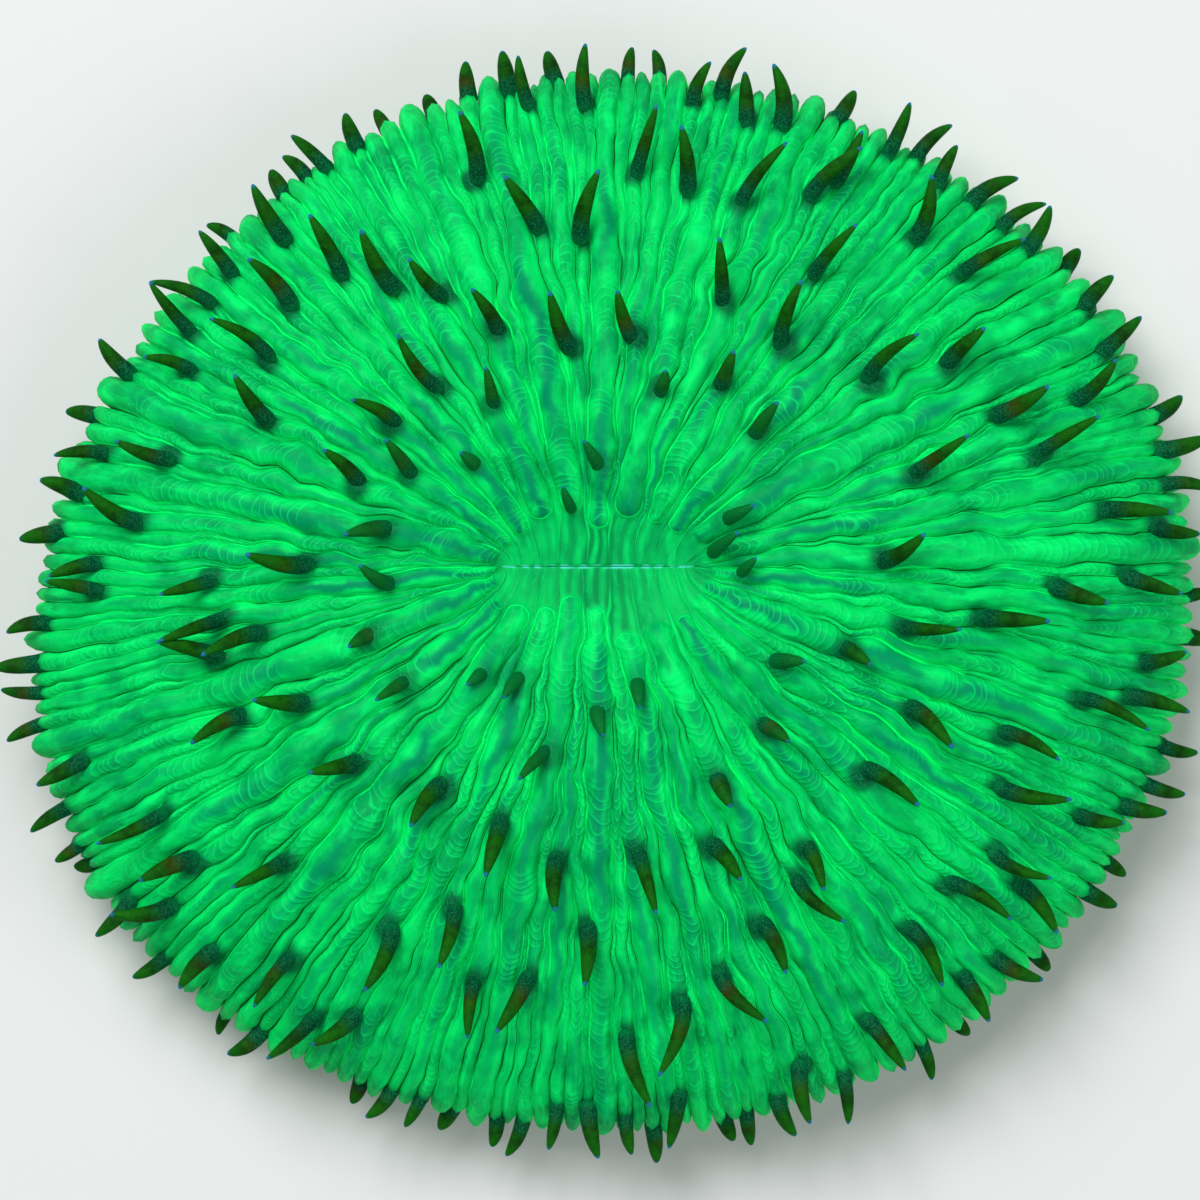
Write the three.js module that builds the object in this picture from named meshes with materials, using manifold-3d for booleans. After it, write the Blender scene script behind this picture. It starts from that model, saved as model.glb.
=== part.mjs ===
// A mushroom coral: one solitary, free-living polyp. Its flesh swells over a low domed disc, from a
// slit mouth out to a rounded margin, in lobes that follow the septa beneath. Every septum carries
// one horn-shaped tentacle, so the tentacles stand in rings that grow denser towards the margin.
// It all grew as one piece and is one solid. Millimetres, +Z up, resting on the plane z = 0.
import * as THREE from "three";
import { ParametricGeometry } from "three/addons/geometries/ParametricGeometry.js";
import { mergeVertices } from "three/addons/utils/BufferGeometryUtils.js";
import Module from "manifold-3d";

// The disc.
const meanRadius = 26.3; // of the outline, without the tentacles
const domeHeight = 11; // highest flesh above the base
const domePower = 2.3; // above 2, the dome is flatter on top and steeper at the margin
const marginHeight = 3.8; // where the disc is widest
const restShare = 0.62; // the flat underside's radius, as a share of the outline's
const outlineWaves = [
  // lobing of the outline: waves around it, height as a share of the radius, direction in degrees
  { count: 2, height: 0.05, towards: 12 },
  { count: 3, height: 0.012, towards: -32 },
  { count: 4, height: 0.009, towards: 20 },
];

// The mouth, a slit along X a little off the middle, in a shallow hollow.
const mouthCentre = new THREE.Vector2(-0.8, 2.0);
const mouthLength = 9.2;
const mouthGap = 0.3;
const mouthDepth = 0.9;
const hollowDepth = 1.5;
const hollowShare = 0.2; // its radius, as a share of the outline's

// The lobes, and the facets that show them.
const lobesDrawn = 48;
const columnsPerLobe = 2;
const lobeRelief = 0.5; // how far they stand out
const reliefRise = 0.25; // they reach that height a quarter of the way from the mouth to the margin
const reliefFall = 0.5; // and sink back over the last half of the way under it
const topRings = 9;
const undersideRings = 3;
const weldDistance = 1e-4;
const sliverSize = 0.08; // joining the pieces leaves no finer detail than this

// The septa and their tentacles. Four cycles share each sector: 24, 24, 48 and 96 septa.
const sectors = 24;
const cycleInSector = [0, 3, 2, 3, 1, 3, 2, 3];
const septa = sectors * cycleInSector.length;
const cycles = [
  // at what share of the plan radius the lobe starts, over how much more it widens, and how wide
  // it grows beside its neighbours; then how far along the skin the tentacle stands, and its length
  { start: -1, widen: 0.5, width: 1.2, stands: [0.07, 0.27], length: [1.5, 3.0] },
  { start: 0, widen: 0.75, width: 1.1, stands: [0.28, 0.41], length: [2.8, 4.2] },
  { start: 0.22, widen: 0.7, width: 0.95, stands: [0.42, 0.65], length: [3.0, 4.2] },
  { start: 0.6, widen: 0.45, width: 0.78, stands: [0.67, 1.1], length: [2.3, 3.4] },
];
const tentacleRadius = 0.44;
const stubGirth = 0.78; // beside the mouth they are this share as thick
const stubsReach = 0.3; // and past here along the skin, they are full size
const tentacleRoot = 0.5; // how far its foot reaches into the flesh
const tentacleElbow = 0.25; // how high it turns outwards, as a share of its length
const tentacleStride = 0.2; // and how far out from its foot
const tentacleSwing = 0.5; // furthest sideways lean, as a share of its length
const tentacleCurl = 0.25; // furthest sideways bulge at the elbow, as a share of its length
const tentacleRise = [0.95, -0.05]; // climb beside its lean outwards, at the mouth and at the margin
const shorterFrom = 0.75; // past here along the skin, the tentacles grow shorter
const shorterBy = 1.9; // share of their length that they lose, per unit along the skin
const tentacleSides = 4;
const hornProfile = [
  // share of the tentacle's radius, and share of its length
  [0, 0],
  [1, 0],
  [0.9, 0.55],
  [0, 1],
];
const lowestTip = 0.6;

// What differs from one septum to the next, by up to this much either way. A lobe's start is a
// share of the plan radius, an anchor's direction a share of its sector, and the rest are shares
// of themselves.
const variation = { start: 0.04, width: 0.3, anchor: 0.12, girth: 0.15 };
const draws = { start: 1, width: 2, anchor: 3, stand: 4, length: 5, swing: 6, girth: 7, curl: 8 };

const wasm = await Module();
wasm.setup();

// A repeatable number from 0 to 1 for one property of one item.
function chance(item, property) {
  const x = Math.sin(item * 12.9898 + property * 78.233) * 43758.5453;
  return x - Math.floor(x);
}

// The same from -1 to 1.
const sway = (item, property) => 2 * chance(item, property) - 1;
const between = ([low, high], share) => low + (high - low) * share;
const cycleOf = (septum) => cycles[cycleInSector[septum % cycleInSector.length]];

// The outline's radius in a direction.
function outlineRadius(angle) {
  const waves = outlineWaves.map(
    ({ count, height, towards }) => height * Math.cos(count * (angle - THREE.MathUtils.degToRad(towards))),
  );
  return meanRadius * (1 + waves.reduce((sum, wave) => sum + wave, 0));
}

// The plan position a share of the way from the mouth's lip to the margin. The curves of equal
// share are flat ovals round the slit that open into the outline.
function planPoint(share, angle, gap = mouthGap / 2) {
  const radius = outlineRadius(angle);
  const alongSlit = Math.hypot((mouthLength / 2) * Math.sqrt(1 - share ** 2), radius * share);
  const acrossSlit = gap + (radius - gap) * share;
  return new THREE.Vector2(
    mouthCentre.x * (1 - share) + alongSlit * Math.cos(angle),
    mouthCentre.y * (1 - share) + acrossSlit * Math.sin(angle),
  );
}

// The height of the dome, without its lobes.
function domeTop(share) {
  const dome = Math.sqrt(Math.max(0, 1 - share ** domePower));
  const hollow = hollowDepth * Math.exp(-((share / hollowShare) ** 2));
  return marginHeight + (domeHeight - marginHeight) * dome - hollow * dome;
}

// A point of the smooth skin. Along runs from 0 at the lip to 1 at the margin and 2 at the edge of
// the flat underside.
function skinPoint(along, angle) {
  const turn = (along * Math.PI) / 2;
  const under = along > 1;
  const share = under ? restShare + (1 - restShare) * Math.sin(turn) : Math.sin(turn);
  const height = under ? marginHeight * (1 + Math.cos(turn)) : domeTop(share);
  const { x, y } = planPoint(share, angle);
  return new THREE.Vector3(x, y, height);
}

// The outward direction of the smooth skin.
function skinNormal(along, angle) {
  const step = 0.01;
  const [before, after] = [Math.max(0, along - step), Math.min(2, along + step)];
  const onwards = skinPoint(after, angle).sub(skinPoint(before, angle));
  const round = skinPoint(along, angle + step).sub(skinPoint(along, angle - step));
  return onwards.cross(round).normalize();
}

// A closed geometry as a solid. Its shared vertices are merged and its collapsed faces dropped.
function solid(geometry) {
  const bare = geometry.clone();
  bare.deleteAttribute("normal");
  bare.deleteAttribute("uv");
  const merged = mergeVertices(bare, weldDistance);
  const corners = merged.index.array;
  const kept = [];
  for (let i = 0; i < corners.length; i += 3) {
    const [a, b, c] = [corners[i], corners[i + 1], corners[i + 2]];
    if (a !== b && b !== c && c !== a) kept.push(a, b, c);
  }
  const vertProperties = merged.attributes.position.array;
  return new wasm.Manifold(new wasm.Mesh({ numProp: 3, vertProperties, triVerts: new Uint32Array(kept) }));
}

// A solid without the closed pockets that crossing tentacles leave in it.
function outerShell(made) {
  return made.decompose().reduce((largest, shell) => (shell.volume() > largest.volume() ? shell : largest));
}

// A solid as a named mesh.
function meshOf(made, name, material) {
  const { vertProperties, triVerts } = made.getMesh();
  const geometry = new THREE.BufferGeometry();
  geometry.setAttribute("position", new THREE.BufferAttribute(vertProperties, 3));
  geometry.setIndex(new THREE.BufferAttribute(triVerts, 1));
  geometry.computeVertexNormals();
  const mesh = new THREE.Mesh(geometry, material);
  mesh.name = name;
  return mesh;
}

// The disc with its broadest lobes, the slit, and the flat underside closed to its middle.
function disc() {
  const columns = lobesDrawn * columnsPerLobe;
  const rings = 1 + topRings + undersideRings + 1;
  const place = (round, down, target) => {
    const angle = -round * 2 * Math.PI;
    const ring = Math.round(down * rings);
    if (ring === 0) {
      const { x } = planPoint(0, angle);
      return target.set(x, mouthCentre.y, domeTop(0) - mouthDepth);
    }
    if (ring === rings) return target.set(0, 0, 0);
    const past = ring - 1 - topRings;
    const along = past <= 0 ? (ring - 1) / topRings : 1 + past / undersideRings;
    const crest = Math.round(round * columns) % columnsPerLobe !== 0;
    const fade = Math.min(1, along / reliefRise, (2 - along) / reliefFall);
    target.copy(skinPoint(along, angle));
    if (crest) target.addScaledVector(skinNormal(along, angle), lobeRelief * fade);
    return target;
  };
  return solid(new ParametricGeometry(place, columns, rings));
}

// How wide a lobe is, at a share of the way to the margin, before its neighbours squeeze it.
function lobeShare(septum, share) {
  const { start, widen, width } = cycleOf(septum);
  const from = start + variation.start * sway(septum, draws.start);
  const grown = THREE.MathUtils.clamp((share - from) / widen, 0, 1);
  return width * (1 + variation.width * sway(septum, draws.width)) * Math.sin((grown * Math.PI) / 2);
}

// The direction of a septum at a share of the way to the margin. The septa of the first cycle hold
// their directions, and the lobes between two of them share that room by width.
function septumAngle(septum, share) {
  const perSector = cycleInSector.length;
  const first = Math.floor(septum / perSector) * perSector;
  const widths = Array.from({ length: perSector + 1 }, (_, k) => lobeShare((first + k) % septa, share));
  const reach = (k) => widths.slice(0, k).reduce((sum, w) => sum + w, 0) + widths[k] / 2 - widths[0] / 2;
  const sector = (2 * Math.PI) / sectors;
  const anchor = (k) => sector * (k + variation.anchor * sway(k % sectors, draws.anchor));
  const [low, high] = [anchor(first / perSector), anchor(first / perSector + 1)];
  return low + ((high - low) * reach(septum - first)) / reach(perSector);
}

// How far along the skin a septum's tentacle stands.
const standsAt = (septum) => between(cycleOf(septum).stands, chance(septum, draws.stand));

// The middle line of a tentacle. It leaves the flesh squarely, then leans outwards and sideways.
function tentacleCurve(septum) {
  const along = standsAt(septum);
  const angle = septumAngle(septum, Math.sin((Math.min(1, along) * Math.PI) / 2));
  const foot = skinPoint(along, angle);
  const normal = skinNormal(along, angle);
  const shortened = 1 - shorterBy * Math.max(0, along - shorterFrom);
  const reach = between(cycleOf(septum).length, chance(septum, draws.length)) * shortened;
  const outwards = new THREE.Vector3(foot.x, foot.y, 0).normalize();
  const sideways = new THREE.Vector3(-outwards.y, outwards.x, 0);
  const lean = outwards
    .addScaledVector(sideways, tentacleSwing * sway(septum, draws.swing))
    .addScaledVector(new THREE.Vector3(0, 0, 1), between(tentacleRise, along))
    .normalize();
  const tip = foot.clone().addScaledVector(normal, lobeRelief).addScaledVector(lean, reach);
  tip.z = Math.max(tip.z, lowestTip);
  const elbow = foot.clone().addScaledVector(normal, lobeRelief + reach * tentacleElbow);
  elbow.addScaledVector(lean, reach * tentacleStride);
  elbow.addScaledVector(sideways, reach * tentacleCurl * sway(septum, draws.curl));
  return new THREE.QuadraticBezierCurve3(foot.addScaledVector(normal, -tentacleRoot), elbow, tip);
}

// A tapered horn turned round the Z axis, then bent to follow its middle line.
function tentacle(septum) {
  const curve = tentacleCurve(septum);
  const grown = Math.min(1, standsAt(septum) / stubsReach);
  const girth = between([stubGirth, 1], grown) * (1 + variation.girth * sway(septum, draws.girth));
  const radius = tentacleRadius * girth;
  const profile = hornProfile.map(([across, along]) => new THREE.Vector2(across * radius, along));
  const horn = new THREE.LatheGeometry(profile, tentacleSides);
  const corners = horn.attributes.position;
  for (let i = 0; i < corners.count; i++) {
    const along = corners.getY(i);
    const tangent = curve.getTangent(along);
    const side = new THREE.Vector3(-tangent.y, tangent.x, 0).normalize();
    const up = side.clone().cross(tangent);
    const spot = curve.getPoint(along);
    spot.addScaledVector(side, corners.getX(i)).addScaledVector(up, corners.getZ(i));
    corners.setXYZ(i, spot.x, spot.y, spot.z);
  }
  return solid(horn);
}

const flesh = new THREE.MeshStandardMaterial({ color: 0x02bb57, roughness: 0.55, metalness: 0 });
const tentacles = Array.from({ length: septa }, (_, septum) => tentacle(septum));
const coral = outerShell(wasm.Manifold.union([disc(), ...tentacles]).simplify(sliverSize));

const group = new THREE.Group();
group.add(meshOf(coral, "mushroom_coral", flesh));
export default group;
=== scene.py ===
# A mushroom coral: one fleshy polyp, fluorescent green, with dark horn-shaped tentacles.
# The flesh is one closed skin in 192 lobes that radiate from the slit mouth. The tentacles are one
# mesh of 192 horns, one on each lobe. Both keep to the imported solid's plan, given in millimetres.
import math

import bmesh
import bpy
from mathutils import Color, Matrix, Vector, noise


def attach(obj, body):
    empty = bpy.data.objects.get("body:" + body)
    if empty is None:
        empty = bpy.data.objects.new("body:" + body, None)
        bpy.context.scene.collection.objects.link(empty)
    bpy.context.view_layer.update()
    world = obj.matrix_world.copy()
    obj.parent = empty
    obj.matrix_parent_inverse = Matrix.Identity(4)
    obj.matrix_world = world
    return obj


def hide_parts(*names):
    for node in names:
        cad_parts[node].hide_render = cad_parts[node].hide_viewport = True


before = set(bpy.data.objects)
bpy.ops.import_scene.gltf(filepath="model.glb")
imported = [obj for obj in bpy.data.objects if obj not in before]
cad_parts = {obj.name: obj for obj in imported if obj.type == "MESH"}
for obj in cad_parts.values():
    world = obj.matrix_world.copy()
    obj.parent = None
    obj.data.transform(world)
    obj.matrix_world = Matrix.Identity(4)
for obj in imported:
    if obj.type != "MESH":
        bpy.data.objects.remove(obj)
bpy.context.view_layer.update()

MM = 0.001  # lengths below are in millimetres unless they say otherwise

# The disc.
MEAN_RADIUS = 26.3
DOME_HEIGHT = 11.0
DOME_POWER = 2.3
MARGIN_HEIGHT = 3.8
REST_SHARE = 0.62
OUTLINE_WAVES = ((2, 0.05, 12), (3, 0.012, -32), (4, 0.009, 20))

# The mouth.
MOUTH_CENTRE = Vector((-0.8, 2.0))
MOUTH_LENGTH = 9.2
LIP_GAP = 0.06
MOUTH_DEPTH = 0.9
HOLLOW_DEPTH = 1.5
HOLLOW_SHARE = 0.2

# The septa, in four cycles, and the tentacle that each one carries. Start and widen are shares of
# the way out, for where a cycle's lobes begin and over how far they reach their width. Stands is
# where its tentacles stand along the skin, columns its faces across, and bold its core's strength.
SECTORS = 24
CYCLE_IN_SECTOR = (0, 3, 2, 3, 1, 3, 2, 3)
SEPTA = SECTORS * len(CYCLE_IN_SECTOR)
CYCLES = (
    dict(start=-1, widen=0.5, width=1.2, columns=8, stands=(0.07, 0.27), length=(1.5, 3.0), bold=1.0),
    dict(start=0, widen=0.75, width=1.1, columns=8, stands=(0.28, 0.41), length=(2.8, 4.2), bold=0.8),
    dict(start=0.22, widen=0.7, width=0.95, columns=6, stands=(0.42, 0.65), length=(3.0, 4.2), bold=0.5),
    dict(start=0.6, widen=0.45, width=0.78, columns=4, stands=(0.67, 1.1), length=(2.3, 3.4), bold=0.4),
)
START_VARIES = 0.04
WIDTH_VARIES = 0.3
ANCHOR_VARIES = 0.12
GIRTH_VARIES = 0.15
DRAWS = dict(start=1, width=2, anchor=3, stand=4, length=5, swing=6, girth=7, curl=8, tone=9, end=10)
TENTACLE_RADIUS = 0.44
STUB_GIRTH = 0.78
STUBS_REACH = 0.3
TENTACLE_ROOT = 0.5
TENTACLE_ELBOW = 0.25
TENTACLE_STRIDE = 0.2
TENTACLE_SWING = 0.5
TENTACLE_CURL = 0.25
TENTACLE_RISE = (0.95, -0.05)  # how steeply they lean up, at the mouth and at the margin
SHORTER_FROM = 0.75
SHORTER_BY = 1.9
LOBE_RELIEF = 0.5
LOWEST_TIP = 0.6
BULGE = 0.5  # how much a lobe swells and narrows along its way
BULGE_LENGTH = 1.5
BULGE_FADE = 4  # the power of the way out by which this fades at the margin
LOBE_STRIDE = 7.37  # how far apart two lobes' noise lies


# Large uneven numbers, so that the draws of neighbouring items don't look related.
ITEM_STRIDE = 12.9898
DRAW_STRIDE = 78.233
DRAW_SPREAD = 43758.5453


def chance(item, draw):
    """A repeatable number from 0 to 1 for one property of one item."""
    drawn = math.sin(item * ITEM_STRIDE + DRAWS[draw] * DRAW_STRIDE) * DRAW_SPREAD
    return drawn - math.floor(drawn)


def sway(item, draw):
    """The same from -1 to 1."""
    return 2 * chance(item, draw) - 1


def between(limits, share):
    return limits[0] + (limits[1] - limits[0]) * share


def clamp(value, low=0.0, high=1.0):
    return min(high, max(low, value))


def cycle_of(septum):
    return CYCLES[CYCLE_IN_SECTOR[septum % len(CYCLE_IN_SECTOR)]]


def plan_point(share, angle):
    """The place in plan, a share of the way from the lip to the margin."""
    waves = sum(high * math.cos(count * (angle - math.radians(way))) for count, high, way in OUTLINE_WAVES)
    radius = MEAN_RADIUS * (1 + waves)
    along_slit = math.hypot(MOUTH_LENGTH / 2 * math.sqrt(max(0, 1 - share**2)), radius * share)
    across_slit = LIP_GAP / 2 + (radius - LIP_GAP / 2) * share
    return Vector((
        MOUTH_CENTRE.x * (1 - share) + along_slit * math.cos(angle),
        MOUTH_CENTRE.y * (1 - share) + across_slit * math.sin(angle),
    ))


def dome_top(share):
    """The height of the upper skin a share of the way out, with its hollow round the mouth."""
    dome = math.sqrt(max(0, 1 - share**DOME_POWER))
    hollow = HOLLOW_DEPTH * math.exp(-((share / HOLLOW_SHARE) ** 2))
    return MARGIN_HEIGHT + (DOME_HEIGHT - MARGIN_HEIGHT) * dome - hollow * dome


def plan_share(along):
    """How far out in plan a place along the skin lies, as a share of the way to the margin."""
    return math.sin(clamp(along) * math.pi / 2)


def skin_point(along, angle):
    """A point of the skin under the lobes. Along is -1 in the mouth's depth, 0 at the lip, 1 at the
    margin, 2 at the edge of the flat underside and 3 at its middle."""
    if along < 0:
        depth = Vector((*MOUTH_CENTRE, dome_top(0) - MOUTH_DEPTH))
        return skin_point(0, angle).lerp(depth, -along)
    if along > 2:
        return skin_point(2, angle) * (3 - along)
    turn = along * math.pi / 2
    if along > 1:
        share = REST_SHARE + (1 - REST_SHARE) * math.sin(turn)
        height = MARGIN_HEIGHT * (1 + math.cos(turn))
    else:
        share = math.sin(turn)
        height = dome_top(share)
    return Vector((*plan_point(share, angle), height))


def skin_normal(along, angle, step=0.01):
    onwards = skin_point(min(2, along + step), angle) - skin_point(max(0, along - step), angle)
    around = skin_point(along, angle + step) - skin_point(along, angle - step)
    return onwards.cross(around).normalized()


def lobe_width(septum, share):
    """How wide a lobe is before its neighbours squeeze it."""
    cycle = cycle_of(septum)
    grown = clamp((share - cycle["start"] - START_VARIES * sway(septum, "start")) / cycle["widen"])
    width = cycle["width"] * (1 + WIDTH_VARIES * sway(septum, "width")) * math.sin(grown * math.pi / 2)
    lump = noise.noise(Vector((share * MEAN_RADIUS / BULGE_LENGTH, septum * LOBE_STRIDE, 0.5)))
    return width * (1 + BULGE * lump * (1 - share**BULGE_FADE))


def sector_anchor(sector):
    """The direction of the sector's first septum."""
    return 2 * math.pi / SECTORS * (sector + ANCHOR_VARIES * sway(sector % SECTORS, "anchor"))


def crease_directions(share):
    """The directions of the creases: one before each lobe, and one after the last."""
    creases = []
    per_sector = len(CYCLE_IN_SECTOR)
    for sector in range(SECTORS):
        septa = range(sector * per_sector, (sector + 1) * per_sector + 1)
        widths = [lobe_width(septum % SEPTA, share) for septum in septa]
        low, high = sector_anchor(sector), sector_anchor(sector + 1)
        scale = (high - low) / (sum(widths) - (widths[0] + widths[-1]) / 2)
        passed = -widths[0] / 2
        for width in widths[:-1]:
            passed += width
            creases.append(low + passed * scale)
    return [creases[-1] - 2 * math.pi, *creases]


# How far it is over the skin from the lip to each thousandth of the way along.
STEPS = 1000


def skin_runs():
    """The running length of the skin at each step, lip to underside."""
    runs = [0.0]
    for step in range(2 * STEPS):
        gap = skin_point((step + 1) / STEPS, math.pi / 2) - skin_point(step / STEPS, math.pi / 2)
        runs.append(runs[-1] + gap.length)
    return runs


RUNS = skin_runs()


def run_at(along):
    """How many millimetres of skin lie between the lip and a place along it."""
    return RUNS[round(clamp(along, 0, 2) * STEPS)]


# The mesh of the flesh: the gap between its rings of faces, up to each place along the skin.
RING_GAPS = ((0.13, 0.17), (0.92, 0.33), (1.3, 0.24), (2.0, 1.1))
BASE_RINGS = (2.35, 2.7, 3.0)


def ring_places():
    """The places along the skin of the mesh's rings."""
    places = [-1.0, 0.0]
    for reach, gap in RING_GAPS:
        while places[-1] < reach:
            done = run_at(places[-1])
            later = next((step for step in range(2 * STEPS) if RUNS[step] >= done + gap), 2 * STEPS)
            places.append(later / STEPS)
    return [*places, *BASE_RINGS]


# The lobes.
FULLNESS = 0.95  # height of a lobe, as a share of half its width
RIM_FULLNESS = 0.6  # how much more it is at the margin
RIM_SPREAD = 0.13
INNER_FULLNESS = 0.6  # what share of it is left at the mouth
INNER_ROOM = 6.0
UNEVENNESS = 0.3  # how much it rises and sinks along its way
LUMP_SIZE = 1.3
INNER_ENDS = (1.2, 3.0)  # how far from the lip the first cycle's lobes end
OUTER_ENDS = (1.11, 1.2)  # where the lobes end under the margin
TIP_REACH = 0.18  # how far the longest lobe passes the others at the margin
TIP_ROOM = 0.12
DRIFT = 0.28  # how far the creases wander sideways
DRIFT_LENGTH = 3.6
FINE_DRIFT = 0.1
FINE_DRIFT_LENGTH = 0.9
DRIFT_STARTS = (1.5, 6.0)
RUN_SCALE = 50.0  # the lobes' UV map is this many millimetres long
PLEATS_PER_LOBE = 2
PLEATED_SHARE = 0.4
PLEAT_RELIEF = 0.035
RIB_RELIEF = 0.12
RIB_FADE = 3  # how fast the ribs fade at the edge of the flat underside
FOOT_RISE = 0.14  # how much the flesh rises round each tentacle's foot
FOOT_SIZE = 0.6
HALO_SIZE = 0.72  # how far round it the flesh is dark
FOOT_SHIFT = 0.3  # the tentacles leave the flesh this far out from their feet
MERGE_WITHIN = 1e-4


def wander(along, angle):
    """A direction moved sideways, so that the creases meander."""
    place = skin_point(along, angle)
    fade = clamp((run_at(along) - DRIFT_STARTS[0]) / (DRIFT_STARTS[1] - DRIFT_STARTS[0]))
    fade *= clamp(2 - along)
    if fade == 0:
        return angle
    aside = DRIFT * noise.noise(place / DRIFT_LENGTH)
    aside += FINE_DRIFT * noise.noise(place / FINE_DRIFT_LENGTH)
    return angle + fade * aside / place.xy.length


def stands_at(septum):
    """How far along the skin a septum's tentacle stands."""
    return between(cycle_of(septum)["stands"], chance(septum, "stand"))


def tentacle_foot(septum):
    """The same, with the direction that it stands in."""
    along = stands_at(septum)
    creases = crease_directions(plan_share(along))
    return along, wander(along, (creases[septum] + creases[septum + 1]) / 2)


def flesh_height(septum, along, x, half):
    """How far the flesh stands over the skin, and how near the edge of its lobe the spot is: 0 on
    the crest, 1 at the edge and more outside. x is -1 to 1 across the lobe, half its half width."""
    run = run_at(along)
    ends = 0
    if cycle_of(septum)["start"] < 0:
        inner = between(INNER_ENDS, chance(septum, "end"))
        ends = clamp(1 - (run - inner) / half, 0, 2)
    outer = run_at(between(OUTER_ENDS, chance(septum, "end")))
    ends = max(ends, clamp(1 - (outer - run) / half))
    edge = math.hypot(x, ends)
    fullness = FULLNESS * between((INNER_FULLNESS, 1), clamp(run / INNER_ROOM))
    fullness += RIM_FULLNESS * math.exp(-(((along - 1) / RIM_SPREAD) ** 2))
    height = fullness * half * math.sqrt(max(0, 1 - edge**2))
    if along < 1:
        height += PLEAT_RELIEF * clamp(ends) * clamp(run) * pleat(x)
    else:
        tip = math.exp(-(((along - 1) / TIP_ROOM) ** 2))
        height += TIP_REACH * chance(septum, "length") * tip * (1 - x**2)
        height += RIB_RELIEF * (1 - x**2) * clamp(along - 1) * clamp(RIB_FADE * (2 - along))
    return height, edge


def pleat(x):
    return math.cos(PLEATS_PER_LOBE * math.pi * (x + 1))


def lobe_strip(bm, septum, places, creases, layers):
    """The strip of skin over one septum, from the depth of the mouth to the middle of the underside."""
    columns = cycle_of(septum)["columns"]
    rows = len(places) - 1
    made = bmesh.ops.create_grid(bm, x_segments=columns, y_segments=rows, size=0.5)
    foot_run = run_at(stands_at(septum)) + FOOT_SHIFT
    spots = {}
    for vert in made["verts"]:
        spots.setdefault(round((vert.co.y + 0.5) * rows), []).append((vert, vert.co.x))
    for row, verts in spots.items():
        along = places[row]
        low, high = creases[row][septum], creases[row][septum + 1]
        first, last = (skin_point(along, wander(along, angle)) for angle in (low, high))
        half = (last - first).length / 2
        for vert, aside in verts:
            x = math.sin(math.pi * aside)
            angle = wander(along, (low + high) / 2 + (high - low) / 2 * x)
            place = skin_point(along, angle)
            away = math.hypot(run_at(along) - foot_run, x * half)
            vert[layers["foot"]] = math.exp(-((away / HALO_SIZE) ** 2))
            vert[layers["place"]] = along
            vert[layers["edge"]] = 1
            if 0 < along < 2 and half > 0:
                height, edge = flesh_height(septum, along, x, half)
                height *= 1 + UNEVENNESS * noise.noise(place / LUMP_SIZE)
                height += FOOT_RISE * math.exp(-((away / FOOT_SIZE) ** 2)) * (1 - x**2)
                vert[layers["edge"]] = edge
                place += skin_normal(along, angle) * height
            vert.co = place * MM
            for corner in vert.link_loops:
                corner[layers["lobe"]].uv = ((x + 1) / 2, run_at(along) / RUN_SCALE)
    for face in {face for vert in made["verts"] for face in vert.link_faces}:
        face[layers["tone"]] = chance(septum, "tone")
        face[layers["bold"]] = cycle_of(septum)["bold"]
        face.smooth = True


def make_flesh(material):
    """The whole skin, closed and free of doubles."""
    places = ring_places()
    creases = [crease_directions(plan_share(along)) for along in places]
    bm = bmesh.new()
    layers = {name: bm.verts.layers.float.new(name) for name in ("edge", "place", "foot")}
    layers |= {name: bm.faces.layers.float.new(name) for name in ("tone", "bold")}
    layers["lobe"] = bm.loops.layers.uv.new("lobe")
    for septum in range(SEPTA):
        lobe_strip(bm, septum, places, creases, layers)
    bmesh.ops.remove_doubles(bm, verts=bm.verts, dist=MERGE_WITHIN * MM)
    bmesh.ops.recalc_face_normals(bm, faces=bm.faces)
    return piece(bm, "coral_flesh", material)


# A tentacle's outline: its radius, and how far up its middle line, from its foot to its tip.
HORN_PROFILE = (
    (0.0, 0.12), (1.2, 0.17), (1.08, 0.32), (1.02, 0.5),
    (0.9, 0.68), (0.6, 0.86), (0.28, 0.97), (0.0, 1.0),
)
HORN_SIDES = 6


def horn_mesh():
    """A straight horn up the Z axis, turned from its outline."""
    bm = bmesh.new()
    verts = [bm.verts.new((radius, 0, height)) for radius, height in HORN_PROFILE]
    edges = [bm.edges.new(pair) for pair in zip(verts, verts[1:])]
    bmesh.ops.spin(
        bm, geom=verts + edges, cent=(0, 0, 0), axis=(0, 0, 1),
        angle=2 * math.pi, steps=HORN_SIDES, use_merge=True,
    )
    bmesh.ops.remove_doubles(bm, verts=bm.verts, dist=MERGE_WITHIN)
    bmesh.ops.recalc_face_normals(bm, faces=bm.faces)
    for face in bm.faces:
        face.smooth = True
    mesh = bpy.data.meshes.new("horn")
    bm.to_mesh(mesh)
    bm.free()
    return mesh


def tentacle_curve(septum):
    """The three points that a tentacle's middle line bends by."""
    along, angle = tentacle_foot(septum)
    foot, normal = skin_point(along, angle), skin_normal(along, angle)
    reach = between(cycle_of(septum)["length"], chance(septum, "length"))
    reach *= 1 - SHORTER_BY * max(0, along - SHORTER_FROM)
    outwards = Vector((foot.x, foot.y, 0)).normalized()
    sideways = Vector((-outwards.y, outwards.x, 0))
    lean = outwards + sideways * TENTACLE_SWING * sway(septum, "swing")
    lean.z = between(TENTACLE_RISE, along)
    lean.normalize()
    tip = foot + normal * LOBE_RELIEF + lean * reach
    tip.z = max(tip.z, LOWEST_TIP)
    elbow = foot + normal * (LOBE_RELIEF + reach * TENTACLE_ELBOW) + lean * reach * TENTACLE_STRIDE
    elbow += sideways * reach * TENTACLE_CURL * sway(septum, "curl")
    return foot - normal * TENTACLE_ROOT, elbow, tip


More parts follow.
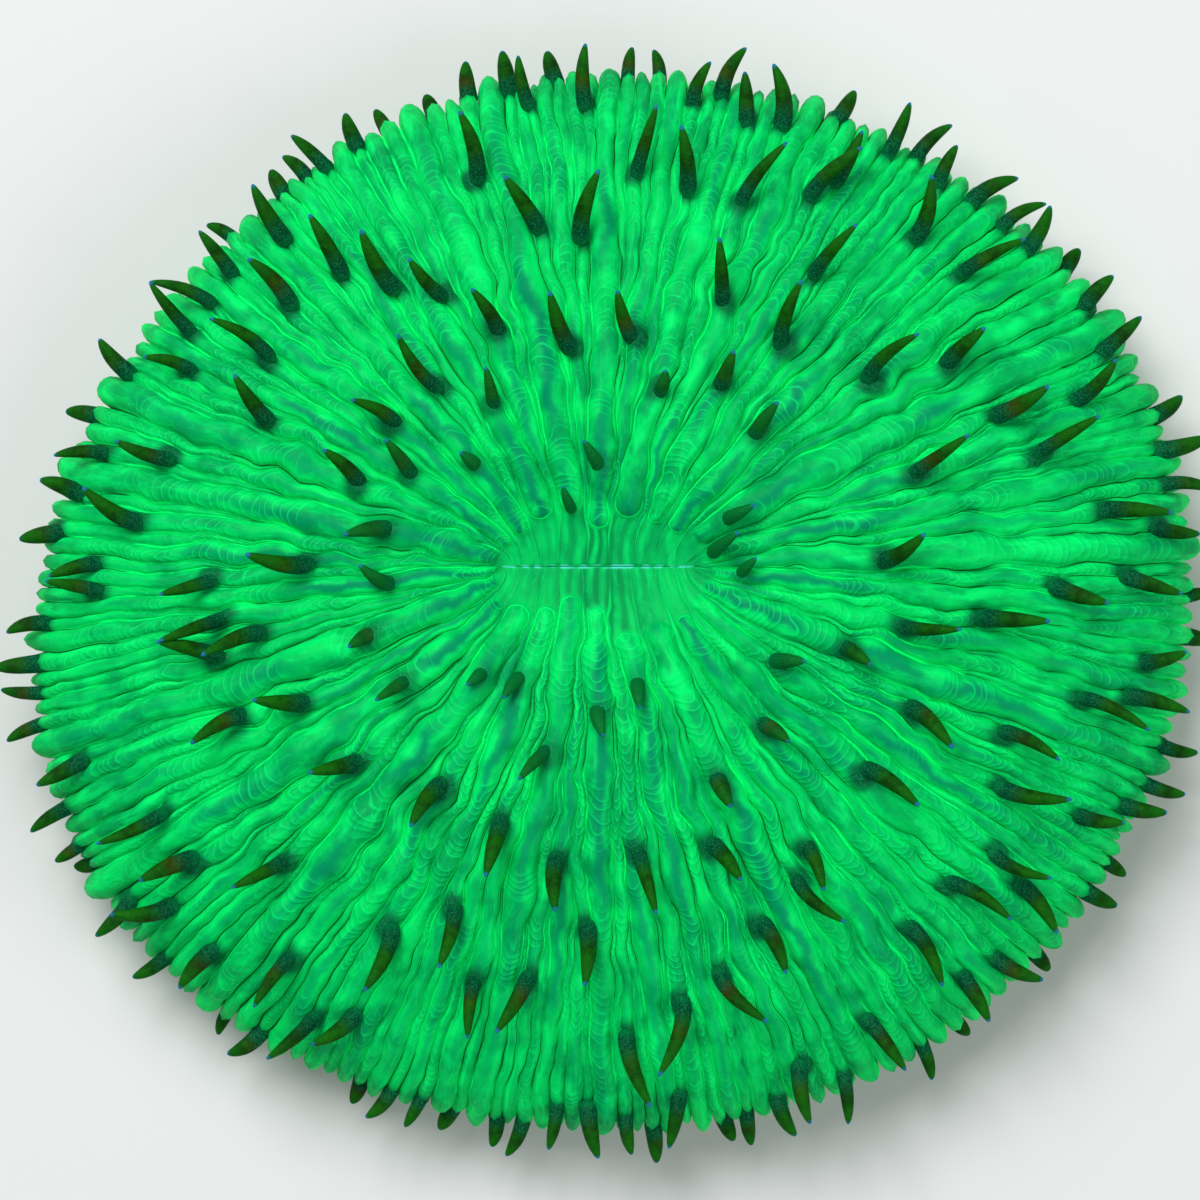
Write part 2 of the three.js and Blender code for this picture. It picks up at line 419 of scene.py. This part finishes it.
def bend_horn(verts, septum, layers):
    """A straight horn bent along its septum's curve, and given its girth."""
    root, elbow, tip = tentacle_curve(septum)
    along = stands_at(septum)
    grown = clamp(along / STUBS_REACH)
    radius = TENTACLE_RADIUS * between((STUB_GIRTH, 1), grown)
    radius *= 1 + GIRTH_VARIES * sway(septum, "girth")
    for vert in verts:
        x, y, up = vert.co
        middle = root.lerp(elbow, up).lerp(elbow.lerp(tip, up), up)
        tangent = (elbow.lerp(tip, up) - root.lerp(elbow, up)).normalized()
        side = Vector((-tangent.y, tangent.x, 0)).normalized()
        vert.co = (middle + (side * x + side.cross(tangent) * y) * radius) * MM
        vert[layers["up"]] = up
        vert[layers["place"]] = along
        vert[layers["tone"]] = chance(septum, "tone")


def make_tentacles(material):
    """All the tentacles, joined in one mesh."""
    horn = horn_mesh()
    bm = bmesh.new()
    layers = {name: bm.verts.layers.float.new(name) for name in ("up", "place", "tone")}
    for septum in range(SEPTA):
        before = len(bm.verts)
        bm.from_mesh(horn)
        bm.verts.ensure_lookup_table()
        bend_horn(bm.verts[before:], septum, layers)
    bmesh.ops.recalc_face_normals(bm, faces=bm.faces)
    made = piece(bm, "tentacles", material)
    rounding = made.modifiers.new("rounding", "SUBSURF")
    rounding.levels = rounding.render_levels = 1
    return made


def piece(bm, name, material):
    """A finished mesh as an object."""
    mesh = bpy.data.meshes.new(name)
    bm.to_mesh(mesh)
    bm.free()
    mesh.materials.append(material)
    made = bpy.data.objects.new(name, mesh)
    bpy.context.scene.collection.objects.link(made)
    return made


# Colours, from 0 to FULL_TONE as on a paint chart.
FULL_TONE = 255


def paint(red, green, blue):
    """The linear colour that a shader takes."""
    chart = Color((red / FULL_TONE, green / FULL_TONE, blue / FULL_TONE))
    return (*chart.from_srgb_to_scene_linear(), 1.0)


GREEN = paint(0, 188, 84)
DEEP_GREEN = paint(0, 138, 70)
BRIGHT_GREEN = paint(4, 230, 108)
TEAL = paint(0, 124, 80)
# The colour of the painted shadow lines in the creases between lobes.
SHADOW_LINE_GREEN = paint(8, 66, 12)
PLEAT_GREEN = paint(0, 112, 58)
OLIVE = paint(14, 78, 6)
DARK_OLIVE = paint(8, 50, 6)
TIP_OLIVE = paint(14, 90, 12)
DARK_TEAL = paint(0, 58, 36)
RED_BROWN = paint(62, 34, 2)
STUB_GREEN = paint(0, 100, 44)
TIP_BLUE = paint(24, 100, 136)
LIP_CYAN = paint(70, 205, 185)
PALE_SPECK = paint(30, 150, 90)
CHALK = paint(150, 152, 120)
FLOOR_GREY = paint(206, 208, 208)
WHITE = paint(255, 255, 255)


def add(tree, kind, inputs=None, **settings):
    """A node with its settings, and its inputs given as values or as other nodes' outputs."""
    made = tree.nodes.new(kind)
    for name, value in settings.items():
        setattr(made, name, value)
    for name, value in (inputs or {}).items():
        if isinstance(value, bpy.types.NodeSocket):
            tree.links.new(value, made.inputs[name])
        else:
            made.inputs[name].default_value = value
    return made


def math_node(tree, operation, first, second=0.0):
    return add(tree, "ShaderNodeMath", {0: first, 1: second}, operation=operation).outputs[0]


def ramp(tree, value, low, high):
    """0 where value is at low, 1 at high, and smooth between."""
    inputs = {"Value": value, "From Min": low, "From Max": high}
    return add(tree, "ShaderNodeMapRange", inputs, interpolation_type="SMOOTHSTEP").outputs[0]


def bell(tree, value, middle, width):
    """1 where value is at middle, falling to 0 that width away."""
    away = math_node(tree, "ABSOLUTE", math_node(tree, "SUBTRACT", value, middle))
    return ramp(tree, away, width, 0.0)


# A Mix node's sockets for colours.
MIX_MASK = 0
MIX_BELOW = 6
MIX_ABOVE = 7
MIX_COLOUR = 2


def mix(tree, mask, below, above):
    """The colour below where the mask is 0, and the one above where it is 1."""
    inputs = {MIX_MASK: mask, MIX_BELOW: below, MIX_ABOVE: above}
    return add(tree, "ShaderNodeMix", inputs, data_type="RGBA").outputs[MIX_COLOUR]


def product(tree, first, *others):
    """Masks multiplied together."""
    for other in others:
        first = math_node(tree, "MULTIPLY", first, other)
    return first


def coat(tree, colour, over, *masks):
    """A colour with another over it, as far as all the masks let it through."""
    return mix(tree, product(tree, *masks), colour, over)


def attribute(tree, name):
    return add(tree, "ShaderNodeAttribute", attribute_name=name).outputs["Fac"]


def clouds(tree, vector, scale, detail=2.0):
    inputs = {"Vector": vector, "Scale": scale, "Detail": detail}
    return add(tree, "ShaderNodeTexNoise", inputs).outputs["Fac"]


def here(tree):
    """The place on the object."""
    return add(tree, "ShaderNodeTexCoord").outputs["Object"]


def new_group(name, inputs, outputs):
    """A shader node group with its own inputs and outputs."""
    group = bpy.data.node_groups.new(name, "ShaderNodeTree")
    for label, kind in inputs:
        group.interface.new_socket(label, in_out="INPUT", socket_type=kind)
    for label, kind in outputs:
        group.interface.new_socket(label, in_out="OUTPUT", socket_type=kind)
    return group, group.nodes.new("NodeGroupInput"), group.nodes.new("NodeGroupOutput")


def speckle_group():
    """Small round grains, as a mask."""
    group, given, out = new_group(
        "speckles",
        (("Scale", "NodeSocketFloat"), ("Size", "NodeSocketFloat")),
        (("Mask", "NodeSocketFloat"),),
    )
    where = here(group)
    cells = add(group, "ShaderNodeTexVoronoi", {"Vector": where, "Scale": given.outputs["Scale"]})
    spot = add(group, "ShaderNodeMapRange", {
        "Value": cells.outputs["Distance"], "From Min": given.outputs["Size"], "From Max": 0.0,
    })
    group.links.new(spot.outputs[0], out.inputs["Mask"])
    return group


def mottle_group():
    """Two sizes of soft blotches, as a value about a half."""
    group, given, out = new_group(
        "mottle",
        (("Coarse", "NodeSocketFloat"), ("Fine", "NodeSocketFloat")),
        (("Value", "NodeSocketFloat"),),
    )
    where = here(group)
    coarse = clouds(group, where, given.outputs["Coarse"])
    fine = clouds(group, where, given.outputs["Fine"])
    both = math_node(group, "MULTIPLY", math_node(group, "ADD", coarse, fine), 0.5)
    group.links.new(both, out.inputs["Value"])
    return group


def grouped(tree, group, **values):
    """A group placed in a material with its own values."""
    made = add(tree, "ShaderNodeGroup", node_tree=group)
    for name, value in values.items():
        made.inputs[name].default_value = value
    return made.outputs[0]


# How strongly each material gives off its own colour as a painted glow.
GLOW = 0.2
WET_SHINE = 0.04
RELIEF_STRENGTH = 0.6


def glowing_material(name, colour_of, patterns, roughness):
    """A moist flesh: its colour is also given off as a painted glow, for its fluorescence."""
    material = bpy.data.materials.new(name)
    material.use_nodes = True
    tree = material.node_tree
    shader = tree.nodes["Principled BSDF"]
    colour, height, depth = colour_of(tree, *patterns)
    tree.links.new(colour, shader.inputs["Base Color"])
    # The colour is also given off as a painted glow.
    tree.links.new(colour, shader.inputs["Emission Color"])
    shader.inputs["Emission Strength"].default_value = GLOW
    shader.inputs["Roughness"].default_value = roughness
    shader.inputs["Specular IOR Level"].default_value = WET_SHINE
    inputs = {"Height": height, "Distance": depth, "Strength": RELIEF_STRENGTH}
    bump = add(tree, "ShaderNodeBump", inputs)
    tree.links.new(bump.outputs["Normal"], shader.inputs["Normal"])
    return material


# In the patterns below, a mask's pair is where it begins and where it is full. For a bell it is its
# middle and its width. CLOUDS are a noise's scale and detail. A GRAIN is how fast a noise changes
# across a lobe and along it, and its detail. Edge is 1 at a crease, place is 1 at the margin, and
# up is 1 at a tentacle's tip.
LOBES_APART = 70.0


def lobe_noise(tree, across, run, tone, crosswise, lengthwise, detail):
    """Noise laid out along the lobes, and different on each."""
    where = add(tree, "ShaderNodeCombineXYZ", {
        "X": math_node(tree, "MULTIPLY", across, crosswise),
        "Y": math_node(tree, "MULTIPLY", run, lengthwise),
        "Z": math_node(tree, "MULTIPLY", tone, LOBES_APART),
    }).outputs[0]
    return clouds(tree, where, 1.0, detail)


WRINKLE_GAP = 0.4
WRINKLE_BOW = 0.35
WRINKLE_SHIFT = 1.6
WRINKLE_SHIFT_GRAIN = (0.6, 0.8, 1.0)
WRINKLE_GROUP_GRAIN = (0.4, 0.35, 0.0)
WRINKLE_GROUPS = (0.44, 0.62)
WRINKLE_INSIDE = (1.1, 0.95)


def wrinkles(tree, across, run, edge, tone):
    """Fine arcs across a lobe, bowed outwards, in groups with smooth stretches between."""
    bow = math_node(tree, "MULTIPLY", math_node(tree, "POWER", edge, 2.0), WRINKLE_BOW)
    shift = product(tree, lobe_noise(tree, across, run, tone, *WRINKLE_SHIFT_GRAIN), WRINKLE_SHIFT)
    place = math_node(tree, "ADD", math_node(tree, "ADD", run, bow), shift)
    wave = math_node(tree, "SINE", math_node(tree, "MULTIPLY", place, 2 * math.pi / WRINKLE_GAP))
    grouping = ramp(tree, lobe_noise(tree, across, run, tone, *WRINKLE_GROUP_GRAIN), *WRINKLE_GROUPS)
    return wave, product(tree, grouping, ramp(tree, edge, *WRINKLE_INSIDE))


CORE_GRAIN = (0.0, 0.45, 3.0)
CORE_BAND = (0.5, 0.18)
CORE_RAG_GRAIN = (3.0, 1.8, 2.0)
CORE_RAGS = 0.3
CORE_PATCH_GRAIN = (0.0, 0.16, 1.0)
CORE_PATCHES = (0.36, 0.6)
CORE_INSIDE = (0.98, 0.7)
CORE_REACH = (1.2, 0.35)


def teal_core(tree, across, run, edge, place, tone, bold):
    """A darker band that wanders along the middle of a lobe, most of all in the bold ones and near
    the mouth."""
    middle = lobe_noise(tree, 0.0, run, tone, *CORE_GRAIN)
    ragged = product(tree, lobe_noise(tree, across, run, tone, *CORE_RAG_GRAIN), CORE_RAGS)
    away = math_node(tree, "ABSOLUTE", math_node(tree, "SUBTRACT", middle, across))
    band = ramp(tree, math_node(tree, "ADD", away, ragged), *CORE_BAND)
    patches = ramp(tree, lobe_noise(tree, 0.0, run, tone, *CORE_PATCH_GRAIN), *CORE_PATCHES)
    inside = ramp(tree, edge, *CORE_INSIDE)
    return product(tree, band, patches, bold, inside, ramp(tree, place, *CORE_REACH))


FLESH_MOTTLE = dict(Coarse=220.0, Fine=900.0)
FLESH_BLOTCHES = (0.34, 0.6)
STREAK_GRAIN = (2.0, 0.45, 3.0)
PALE_STREAKS = (0.5, 0.68)
PALE_STREAK_STRENGTH = 0.45
DARK_STREAKS = (0.5, 0.3)
DARK_STREAK_STRENGTH = 0.5
THREAD_GRAIN = (3.0, 0.5, 2.0)
THREADS = (0.5, 0.03)
THREAD_STRENGTH = 0.25
WRINKLE_HIGHLIGHTS = (0.75, 1.0)
WRINKLE_HIGHLIGHT_STRENGTH = 0.34
WRINKLE_RELIEF = 0.25


def lobe_colour(tree, mottle, across, run, edge, place, tone, bold):
    """The green of a lobe, its streaks, its core and the painted highlights on the crests of its fine
    arcs, and how high these stand.
    """
    blotches = grouped(tree, mottle, **FLESH_MOTTLE)
    colour = mix(tree, ramp(tree, blotches, *FLESH_BLOTCHES), DEEP_GREEN, GREEN)
    streaks = lobe_noise(tree, across, run, tone, *STREAK_GRAIN)
    colour = coat(tree, colour, BRIGHT_GREEN, ramp(tree, streaks, *PALE_STREAKS), PALE_STREAK_STRENGTH)
    colour = coat(tree, colour, DEEP_GREEN, ramp(tree, streaks, *DARK_STREAKS), DARK_STREAK_STRENGTH)
    threads = bell(tree, lobe_noise(tree, across, run, tone, *THREAD_GRAIN), *THREADS)
    colour = coat(tree, colour, BRIGHT_GREEN, threads, THREAD_STRENGTH)
    colour = coat(tree, colour, TEAL, teal_core(tree, across, run, edge, place, tone, bold))
    wave, grouping = wrinkles(tree, across, run, edge, tone)
    # Painted highlights on the crests of the fine arcs.
    crest_highlights = ramp(tree, wave, *WRINKLE_HIGHLIGHTS)
    colour = coat(tree, colour, BRIGHT_GREEN, crest_highlights, grouping, WRINKLE_HIGHLIGHT_STRENGTH)
    relief = product(tree, wave, grouping, WRINKLE_RELIEF)
    return colour, math_node(tree, "ADD", relief, streaks)


# Painted shade along every crease, painted highlights along the lobes' edges, and in places a darker
# painted shadow line in the crease.
CREASE_SHADE = (1.0, 0.35)
CREASE_SHADE_STRENGTH = 0.35
EDGE_HIGHLIGHT = (0.94, 0.11)
EDGE_HIGHLIGHT_CLOUDS = (420.0, 2.0)
EDGE_HIGHLIGHT_BREAKS = (0.36, 0.56)
EDGE_HIGHLIGHT_STRENGTH = 0.95
SHADOW_LINE = (1.0, 0.13)
SHADOW_LINE_CLOUDS = (200.0, 4.0)
SHADOW_LINE_BREAKS = (0.485, 0.56)
SHADOW_LINES_BEGIN = (0.06, 0.18)
RIM = (0.75, 1.0)
RIM_SHADOW_LINES = 0.08


def add_crease_shade_and_highlights(tree, colour, where, edge, place):
    """Painted shade along the creases, painted highlights as bright lines along the lobes' edges, and in
    places a darker painted shadow line in the crease between them.
    """
    colour = coat(tree, colour, DEEP_GREEN, bell(tree, edge, *CREASE_SHADE), CREASE_SHADE_STRENGTH)
    # Painted highlights along the lobes' edges, broken in places.
    breaks = ramp(tree, clouds(tree, where, *EDGE_HIGHLIGHT_CLOUDS), *EDGE_HIGHLIGHT_BREAKS)
    colour = coat(tree, colour, BRIGHT_GREEN, bell(tree, edge, *EDGE_HIGHLIGHT), breaks, EDGE_HIGHLIGHT_STRENGTH)
    # Darker painted shadow lines in the creases, in places, with more of them towards the margin.
    rim = product(tree, ramp(tree, place, *RIM), RIM_SHADOW_LINES)
    uneven = math_node(tree, "ADD", clouds(tree, where, *SHADOW_LINE_CLOUDS), rim)
    breaks = ramp(tree, uneven, *SHADOW_LINE_BREAKS)
    outside = ramp(tree, place, *SHADOW_LINES_BEGIN)
    return coat(tree, colour, SHADOW_LINE_GREEN, bell(tree, edge, *SHADOW_LINE), breaks, outside)


MOUTH_FLESH = (1.0, 1.4)
MOUTH_SHADE = 0.4
PLEAT_CLOUDS = (700.0, 0.0)
PLEAT_WARP = 0.5
PLEAT_STRENGTH = 0.85
LIP = (0.003, 0.0)
LIP_CLOUDS = (2500.0, 0.0)
LIP_BEADS = (0.35, 0.6)


def add_mouth(tree, colour, where, across, edge, place):
    """Faint pleats round the middle of the mouth, and its pale beaded lip."""
    sideways = add(tree, "ShaderNodeSeparateXYZ", {0: where}).outputs["X"]
    middle = bell(tree, sideways, MOUTH_CENTRE.x * MM, MOUTH_LENGTH * PLEATED_SHARE * MM)
    bent = math_node(tree, "ADD", across, product(tree, clouds(tree, where, *PLEAT_CLOUDS), PLEAT_WARP))
    wave = math_node(tree, "COSINE", math_node(tree, "MULTIPLY", bent, 2 * PLEATS_PER_LOBE * math.pi))
    mouth = ramp(tree, edge, *MOUTH_FLESH)
    colour = coat(tree, colour, DEEP_GREEN, mouth, MOUTH_SHADE)
    pleats = ramp(tree, wave, 1.0, -1.0)
    colour = coat(tree, colour, PLEAT_GREEN, pleats, mouth, middle, PLEAT_STRENGTH)
    beads = ramp(tree, clouds(tree, where, *LIP_CLOUDS), *LIP_BEADS)
    return coat(tree, colour, LIP_CYAN, ramp(tree, place, *LIP), beads)


HALO = (0.15, 0.8)
HALO_PLACES = (0.05, 0.3)
HALO_STRENGTH = 0.85
HALO_GRAINS = (0.3, 0.9)
GRAINS = dict(Scale=9000.0, Size=0.6)
GRAIN_STRENGTH = 0.4
UNDERSIDE = (1.2, 1.6)
FLESH_RELIEF = 0.08


def flesh_colour(tree, speckles, mottle):
    """The flesh's colour, and its relief's height and depth."""
    where = here(tree)
    names = ("edge", "place", "foot", "tone", "bold")
    edge, place, foot, tone, bold = (attribute(tree, name) for name in names)
    lobe = add(tree, "ShaderNodeSeparateXYZ", {0: add(tree, "ShaderNodeUVMap", uv_map="lobe").outputs[0]})
    across = lobe.outputs["X"]
    run = math_node(tree, "MULTIPLY", lobe.outputs["Y"], RUN_SCALE)
    colour, relief = lobe_colour(tree, mottle, across, run, edge, place, tone, bold)
    colour = add_crease_shade_and_highlights(tree, colour, where, edge, place)
    colour = add_mouth(tree, colour, where, across, edge, place)
    # Dark grains gather round each tentacle's foot.
    halo = ramp(tree, foot, *HALO)
    colour = coat(tree, colour, DARK_TEAL, halo, ramp(tree, place, *HALO_PLACES), HALO_STRENGTH)
    grains = grouped(tree, speckles, **GRAINS)
    colour = coat(tree, colour, PALE_SPECK, grains, ramp(tree, foot, *HALO_GRAINS), GRAIN_STRENGTH)
    # The underside fades to chalk.
    colour = coat(tree, colour, CHALK, ramp(tree, place, *UNDERSIDE))
    return colour, relief, FLESH_RELIEF * MM


TENTACLE_MOTTLE = dict(Coarse=700.0, Fine=2500.0)
TENTACLE_BLOTCHES = (0.38, 0.62)
TIP_PALE = (0.6, 0.9)
TIP_STRENGTH = 0.6
BROWN_BAND = (0.5, 0.22)
BROWN_CLOUDS = (500.0, 2.0)
BROWN_PATCHES = (0.42, 0.66)
BROWN_TENTACLES = (0.2, 1.0)
BROWN_STRENGTH = 0.5
FOOT_DARK = (0.6, 0.32)
FOOT_GRAINS = (0.6, 0.35)
STUBS = (0.3, 0.15)
STUB_STRENGTH = 0.75
FOOT_FADE = (0.42, 0.26)
FOOT_FADE_WARP = 0.2
FOOT_FADE_STRENGTH = 0.3
BLUE_TIP = (0.94, 0.98)
TENTACLE_RELIEF = 0.05


def tentacle_colour(tree, speckles, mottle):
    """The tentacles' colour, and their relief's height and depth."""
    where = here(tree)
    up, place, tone = (attribute(tree, name) for name in ("up", "place", "tone"))
    blotches = grouped(tree, mottle, **TENTACLE_MOTTLE)
    colour = mix(tree, ramp(tree, blotches, *TENTACLE_BLOTCHES), DARK_OLIVE, OLIVE)
    colour = coat(tree, colour, TIP_OLIVE, ramp(tree, up, *TIP_PALE), TIP_STRENGTH)
    patches = ramp(tree, clouds(tree, where, *BROWN_CLOUDS), *BROWN_PATCHES)
    brown = product(tree, bell(tree, up, *BROWN_BAND), patches)
    colour = coat(tree, colour, RED_BROWN, brown, ramp(tree, tone, *BROWN_TENTACLES), BROWN_STRENGTH)
    # The foot is dark teal with pale grains, and greener on the stubs near the mouth.
    colour = coat(tree, colour, DARK_TEAL, ramp(tree, up, *FOOT_DARK))
    grains = grouped(tree, speckles, **GRAINS)
    colour = coat(tree, colour, PALE_SPECK, grains, ramp(tree, up, *FOOT_GRAINS), GRAIN_STRENGTH)
    colour = coat(tree, colour, STUB_GREEN, ramp(tree, place, *STUBS), STUB_STRENGTH)
    fade = math_node(tree, "ADD", up, product(tree, blotches, FOOT_FADE_WARP))
    colour = coat(tree, colour, DEEP_GREEN, ramp(tree, fade, *FOOT_FADE), FOOT_FADE_STRENGTH)
    colour = coat(tree, colour, TIP_BLUE, ramp(tree, up, *BLUE_TIP))
    return colour, math_node(tree, "ADD", blotches, grains), TENTACLE_RELIEF * MM


def plain_material(name, colour, roughness):
    material = bpy.data.materials.new(name)
    material.use_nodes = True
    shader = material.node_tree.nodes["Principled BSDF"]
    shader.inputs["Base Color"].default_value = colour
    shader.inputs["Roughness"].default_value = roughness
    return material


FLOOR_SIZE = 2.0
FLOOR_ROUGHNESS = 0.9


def make_floor():
    bm = bmesh.new()
    bmesh.ops.create_grid(bm, x_segments=1, y_segments=1, size=FLOOR_SIZE / 2)
    floor = piece(bm, "floor", plain_material("pale floor", FLOOR_GREY, FLOOR_ROUGHNESS))


# Each light's name, size in metres, watts and place.
LIGHTS = (
    ("soft overhead", 0.36, 3.4, (-0.16, 0.26, 0.44)),
    ("soft side", 0.4, 1.1, (0.35, -0.2, 0.3)),
)


def make_light(name, size, watts, place):
    """A soft round light that faces the middle of the scene."""
    lamp = bpy.data.lights.new(name, "AREA")
    lamp.shape = "DISK"
    lamp.size = size
    lamp.energy = watts
    light = bpy.data.objects.new(name, lamp)
    light.location = place
    light.rotation_euler = (-Vector(place)).to_track_quat("-Z", "Y").to_euler()
    bpy.context.scene.collection.objects.link(light)


# The camera looks straight down, and sees this width at the level of the margin.
VIEW_WIDTH = 58.4
VIEW_MIDDLE = Vector((-0.68, 0.39))
VIEW_HEIGHT = 350.0


def make_camera():
    lens = bpy.data.cameras.new("overhead")
    lens.lens = lens.sensor_width * (VIEW_HEIGHT - MARGIN_HEIGHT) / VIEW_WIDTH
    camera = bpy.data.objects.new("overhead", lens)
    camera.location = Vector((*VIEW_MIDDLE, VIEW_HEIGHT)) * MM
    bpy.context.scene.collection.objects.link(camera)
    bpy.context.scene.camera = camera


DAYLIGHT = 0.25


def make_world():
    world = bpy.data.worlds.new("studio")
    world.use_nodes = True
    background = world.node_tree.nodes["Background"]
    background.inputs["Color"].default_value = WHITE
    background.inputs["Strength"].default_value = DAYLIGHT
    bpy.context.scene.world = world


FLESH_ROUGHNESS = 0.55
TENTACLE_ROUGHNESS = 0.5

make_camera()
patterns = (speckle_group(), mottle_group())
flesh = make_flesh(glowing_material("living flesh", flesh_colour, patterns, FLESH_ROUGHNESS))
horn_skin = glowing_material("tentacle skin", tentacle_colour, patterns, TENTACLE_ROUGHNESS)
tentacles = make_tentacles(horn_skin)
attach(flesh, "root")
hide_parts("mushroom_coral")
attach(tentacles, "root")

make_floor()
for light in LIGHTS:
    make_light(*light)
make_world()
bpy.context.scene.view_settings.view_transform = "Standard"
